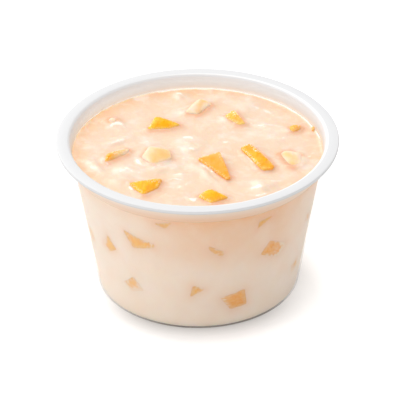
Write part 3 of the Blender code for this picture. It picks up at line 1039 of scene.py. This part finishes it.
# %% [markdown]
# ## The fruit
# Cut fruit is wet, fibrous and never flat. Each dice starts from its solid in the frame, which
# is remeshed finely, smoothed so its cut edges soften, and given a fibrous relief. A painted
# film says where cream clings to it: low down, in patches, and nearly all over on some.

# %% Fruit material
FRUIT_DEEP = (0.87, 0.345, 0.0)
FRUIT_BRIGHT = (0.90, 0.55, 0.015)
FRUIT_FILM = (0.87, 0.56, 0.27)
FRUIT_COVER = (0.89, 0.68, 0.50)
WALL_DEEP = (0.86, 0.335, 0.02)
WALL_BRIGHT = (0.93, 0.50, 0.10)
WALL_FILM = (0.86, 0.53, 0.29)
WALL_COVER = (0.875, 0.65, 0.47)
GLINT = (1.0, 0.91, 0.74)


def fruit_finish(name, deep, bright, coating, cover, painted_glow_share):
    """Wet orange-yellow fruit with fibres, under a painted film of cream, with painted glints and
    a painted glow.
    """
    sheet = Sheet(name)
    fibre = sheet.grain(0.7 * MM, 4.0, (1.0, 0.4, 1.0))
    patch = sheet.grain(4.0 * MM, 1.0)
    tone = ((fibre - 0.5) * 1.7 + (patch - 0.5) * 0.8 + sheet.painted("tone") * 0.9).clamp()
    colour = sheet.mix(tone, deep, bright)
    film = sheet.painted("film")
    colour = sheet.mix(film, colour, coating)
    colour = sheet.mix(sheet.painted("cover"), colour, cover)
    speck = sheet.grain(0.42 * MM, 1.0).ramp(0.47, 0.60)
    # Painted glints: pale specks along the upper edges that face the light.
    colour = sheet.mix(sheet.painted("glint") * speck, colour, GLINT)
    # Painted glow: part of the colour is given off as light, so the shaded sides stay bright.
    glow = sheet.mix(painted_glow_share, BLACK, colour)
    return sheet.finish(base_color=colour, emission_color=glow, emission_strength=1.0,
                        roughness=0.34 + fibre * 0.12,
                        normal=sheet.bump(fibre, 0.06 * MM), ior=1.36,
                        subsurface_weight=0.5, subsurface_scale=0.0014,
                        specular_ior_level=0.2,
                        subsurface_radius=(1.0, 0.5, 0.12))


FRUIT = fruit_finish("diced_fruit", FRUIT_DEEP, FRUIT_BRIGHT, FRUIT_FILM, FRUIT_COVER, 0.13)
FRUIT_AT_WALL = fruit_finish("diced_fruit_at_wall", WALL_DEEP, WALL_BRIGHT, WALL_FILM,
                             WALL_COVER, 0.0)

# %% Refine one dice
VOXEL = 0.18 * MM
CRISP_STEPS = 1
SOFT_STEPS = 50
FIBRE_RELIEF = 0.06
COATED = "bfil"


def fine_mesh(node, smooth_steps):
    """The node's solid, remeshed finely and smoothed."""
    form = linked(node + "_fine", merged_mesh(node))
    remesh = form.modifiers.new("fine", "REMESH")
    remesh.mode = "VOXEL"
    remesh.voxel_size = VOXEL
    smooth = form.modifiers.new("soft", "SMOOTH")
    smooth.factor = 0.5
    smooth.iterations = smooth_steps
    return baked(form)


def add_fibres(mesh, points, seed):
    """Move the points along their normals by a fibrous noise."""
    lift = np.array([noise.noise(Vector((p[0] * 0.9, p[1] * 0.45, p[2] * 0.9 + seed)) / MM)
                     + 0.6 * noise.noise(Vector((p[0], p[1] * 0.4, p[2])) * (2.4 / MM))
                     for p in points])
    return points + read_points(mesh, "normal") * (lift * FIBRE_RELIEF * MM)[:, None]


def dress_dice(node, name, mesh, points, material, tone, **layers):
    """Make the piece that stands for a dice, with its painted layers."""
    write_points(mesh, points)
    for layer, values in layers.items():
        paint(mesh, layer, values)
    # Painted light: faces that turn to the left, towards the lamps, are painted lighter.
    paint(mesh, "tone", tone - 0.5 * read_points(mesh, "normal")[:, 0])
    mesh.materials.clear()
    mesh.materials.append(material)
    mesh.shade_smooth()
    mesh.set_sharp_from_angle(angle=math.radians(30))
    dice = linked(name, mesh)
    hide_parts(node)
    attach(dice, "root")
    "coated_fruit" if name[-1] in COATED else "fruit"


def outline_distance(first, second, is_outline):
    """How far each point lies, in millimetres, from the nearest of those on the outline."""
    outline = KDTree(int(is_outline.sum()))
    for index in np.flatnonzero(is_outline):
        outline.insert((first[index], second[index], 0.0), index)
    outline.balance()
    return np.array([outline.find((a, b, 0.0))[2] for a, b in zip(first, second)])


# %% Find the edges for the painted glints
TOWARDS_LIGHT = (-0.5, 0.866)
GLINT_WIDTH = 0.34
SHARP_ANGLE = 0.35


def glint_edges(node, points):
    """How near each point lies to a sharp upper edge that faces the light, from 0 to 1, for
    painted glints.
    """
    form = bmesh.new()
    form.from_mesh(merged_mesh(node))
    middle = points.mean(axis=0)
    best = np.zeros(len(points))
    for edge in form.edges:
        start, end = (np.array(vertex.co) for vertex in edge.verts)
        centre = (start + end) / 2
        if edge.calc_face_angle(0.0) < SHARP_ANGLE or centre[2] < CREAM_LEVEL:
            continue
        along = end - start
        share = np.clip((points - start) @ along / (along @ along), 0.0, 1.0)
        distance = np.linalg.norm(points - start - share[:, None] * along, axis=1) / MM
        outward = (centre - middle)[:2] / np.linalg.norm((centre - middle)[:2])
        facing = 0.55 + 0.45 * float(outward @ np.array(TOWARDS_LIGHT))
        best = np.maximum(best, facing * np.exp(-(distance / GLINT_WIDTH) ** 2))
    form.free()
    return best


# %% Cream on the dice in the top
THIN_FILM = 0.7
# Strength of the film, its rise to the right and to the back for each millimetre, how patchy
# it is, and how much it gathers at the edges.
FILMS = {
    "b": (0.78, -0.03, 0.00, 0.8, 0.25),
    "c": (0.14, 0.03, -0.03, 0.3, 0.25),
    "d": (0.08, 0.06, 0.00, 0.4, 0.20),
    "e": (0.30, 0.14, 0.00, 0.5, 0.30),
    "f": (0.58, -0.05, 0.03, 0.3, 0.55),
    "g": (0.06, 0.02, 0.02, 0.25, 0.15),
    "h": (-0.02, 0.02, 0.00, 0.3, 0.15),
    "i": (0.72, 0.06, 0.04, 0.5, 0.5),
    "l": (0.97, 0.00, 0.00, 0.2, 0.10),
}
PLAIN_FILM = (0.0, 0.0, 0.0, 0.15, 0.15)
CLING_HEIGHTS = (0.05, 0.65)
EDGE_WIDTH = 0.45
COATED_EDGE_WIDTH = 0.9


def cling(letter, seed, x, y, middle, over, upright):
    """How much cream covers each point of a dice in the top, from 0 to 1."""
    patches = 0.5 + 0.5 * ripple(x, y, 1.9, seed)
    low = 0.97 * (1 - smoothstep(*CLING_HEIGHTS, over + 0.4 * (patches - 0.5)))
    base, to_right, to_back, patchy, edging = FILMS.get(letter, PLAIN_FILM)
    from_edge = outline_distance(x, y, (np.abs(upright) < 0.6) & (over > -0.8))
    coat = base + to_right * (x - middle[0] / MM) + to_back * (y - middle[1] / MM)
    edge_width = COATED_EDGE_WIDTH if letter in COATED else EDGE_WIDTH
    coat = coat + patchy * (patches - 0.5) + edging * np.exp(-from_edge / edge_width)
    return np.clip(np.maximum(low, coat), 0, 1)


# %% Dice in the top
MIDDLE_TONE = 0.5
TONES = {"c": 0.55, "d": 0.25, "e": 0.1, "g": -0.5, "h": 0.1, "j": 0.45}
LIFTS = {"b": 0.1, "d": 0.4, "e": 0.2, "f": -0.15, "g": 0.3, "h": 0.25, "i": -0.45}
TOP_SPREAD = 1.18
TOP_LIFT = 0.28
CLEAR_OF_WALL = 0.6 * MM
BRIGHT_GLINT = 0.8
COATED_GLINT = 0.2


def make_top_dice(node, index):
    """A dice half sunk in the top, with cream clinging to its foot."""
    letter = node.rsplit("_", 1)[1]
    is_coated = letter in COATED
    mesh = fine_mesh(node, SOFT_STEPS if is_coated else CRISP_STEPS)
    glint = glint_edges(node, read_points(mesh)) * (COATED_GLINT if is_coated else BRIGHT_GLINT)
    upright = read_points(mesh, "normal")[:, 2]
    points = add_fibres(mesh, read_points(mesh), index * 3.7)
    middle = points.mean(axis=0)
    points[:, :2] = middle[:2] + (points[:, :2] - middle[:2]) * TOP_SPREAD
    points[:, 2] += (TOP_LIFT + LIFTS.get(letter, 0.0)) * MM
    radius = np.hypot(points[:, 0], points[:, 1])
    limit = np.array([side_radius(z) for z in points[:, 2]]) - CLEAR_OF_WALL
    points[:, :2] *= np.minimum(1.0, limit / radius)[:, None]
    x = points[:, 0] / MM
    y = points[:, 1] / MM
    over = points[:, 2] / MM - CREAM_LEVEL / MM - fine_relief(x, y)
    total = cling(letter, index * 5.3, x, y, middle, over, upright)
    dress_dice(node, "diced_fruit_" + letter, mesh, points, FRUIT,
               TONES.get(letter, MIDDLE_TONE), film=np.clip(total / THIN_FILM, 0, 1),
               cover=np.clip((total - THIN_FILM) / (1 - THIN_FILM), 0, 1),
               glint=glint * smoothstep(0.0, 0.3, over))


for index, node in enumerate(TOP_DICE):
    make_top_dice(node, index)

# %% [markdown]
# ## The fruit at the wall
# These dice press against the plastic, which shows them in soft patches: strong where they
# touch, and fading to pink where a film of cream lies between. Their outer face is pushed out
# to reach just into the wall, and each leans a little, so that one side is the stronger.

# %% Dice at the wall
FACE_INTO_WALL = 0.145
FACE_DEPTH = 1.2
SOFT_EDGE = 0.62
SOFT_EDGE_WIDTH = 1.2
STREAKS = 0.6
SLOPE_WIDTH = 3.5
# How much cream lies over each dice, and for some the direction and strength of its slope.
WALL_FILMS = {"m": 0.0, "n": 0.06, "o": 0.22, "p": 0.02, "q": -0.35, "r": 0.24, "s": 0.0,
              "t": -0.05, "u": 0.60, "v": 0.75, "w": 0.70, "back_10": 0.85}
WALL_FADES = {"o": (3.1, 0.8), "u": (-1.2, 0.9), "r": (-0.8, 0.5)}
GUESSED_FILM = 0.3
GENTLE_SLOPE = 0.25


def press_to_wall(points):
    """Push the outer face out into the wall. Returns how far in each point lay before."""
    radius = np.hypot(points[:, 0], points[:, 1])
    wall = np.array([inner_radius(z) for z in points[:, 2]])
    inward = (wall - radius) / MM - FRAME_GAP / MM
    push = 1 - smoothstep(FACE_DEPTH * 0.5, FACE_DEPTH, inward)
    flush = wall + FACE_INTO_WALL * MM
    points[:, :2] *= (1 + push * (flush / radius - 1))[:, None]
    return inward


def make_wall_dice(node, index):
    """A dice against the wall, seen through it."""
    letter = node.split("_", 2)[2]
    mesh = fine_mesh(node, CRISP_STEPS)
    points = add_fibres(mesh, read_points(mesh), index * 2.9)
    inward = press_to_wall(points)
    turn, fade = WALL_FADES.get(letter, (index * 2.4, GENTLE_SLOPE))
    middle = points.mean(axis=0)
    tangent = np.array([-middle[1], middle[0], 0.0]) / np.hypot(middle[0], middle[1])
    along = (points - middle) @ tangent / MM
    up = (points[:, 2] - middle[2]) / MM
    lean = (along * math.cos(turn) + up * math.sin(turn)) / SLOPE_WIDTH
    across = along * math.sin(turn) - up * math.cos(turn)
    fibres = ripple(across * 2.6 + index * 9.0, lean * 3.0, 1.0, index * 1.3)
    film = WALL_FILMS.get(letter, GUESSED_FILM) + fade * lean + STREAKS * fibres
    from_edge = outline_distance(along, up, (inward > 0.8) & (inward < 1.8))
    film += SOFT_EDGE * (1 - smoothstep(0.0, SOFT_EDGE_WIDTH, from_edge))
    film = np.maximum(film, smoothstep(0.35, 0.95, inward))
    dress_dice(node, "wall_fruit_" + letter, mesh, points, FRUIT_AT_WALL, MIDDLE_TONE,
               film=np.clip(film, 0, 0.9), cover=np.clip((film - THIN_FILM) / 0.4, 0, 1))


for index, node in enumerate(WALL_DICE):
    make_wall_dice(node, index)
print("fruit ready")

# %% [markdown]
# ## A crumb of fruit at the edge
# One tiny crumb hangs in the meniscus at the back right. It is too small for the frame, so it
# is made here, as a stretched ball.

# %% Add the crumb
CRUMB_PLACE = Vector((31.1, 10.4, 38.75)) * MM
CRUMB_SIZES = (0.45 * MM, 0.95 * MM, 0.5 * MM)
crumb_form = bmesh.new()
bmesh.ops.create_icosphere(crumb_form, subdivisions=4, radius=1.0)
crumb_form.transform(Matrix.Translation(CRUMB_PLACE) @ Matrix.Diagonal((*CRUMB_SIZES, 1.0)))
crumb_mesh = bpy.data.meshes.new("crumb")
crumb_form.to_mesh(crumb_mesh)
crumb_form.free()
crumb_mesh.materials.append(FRUIT)
crumb_mesh.shade_smooth()
for layer, value in (("film", 0.7), ("tone", 0.3)):
    paint(crumb_mesh, layer, np.full(len(crumb_mesh.vertices), value))
crumb = linked("fruit_crumb", crumb_mesh)
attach(crumb, "root")
print("crumb", len(crumb_mesh.polygons), "faces")
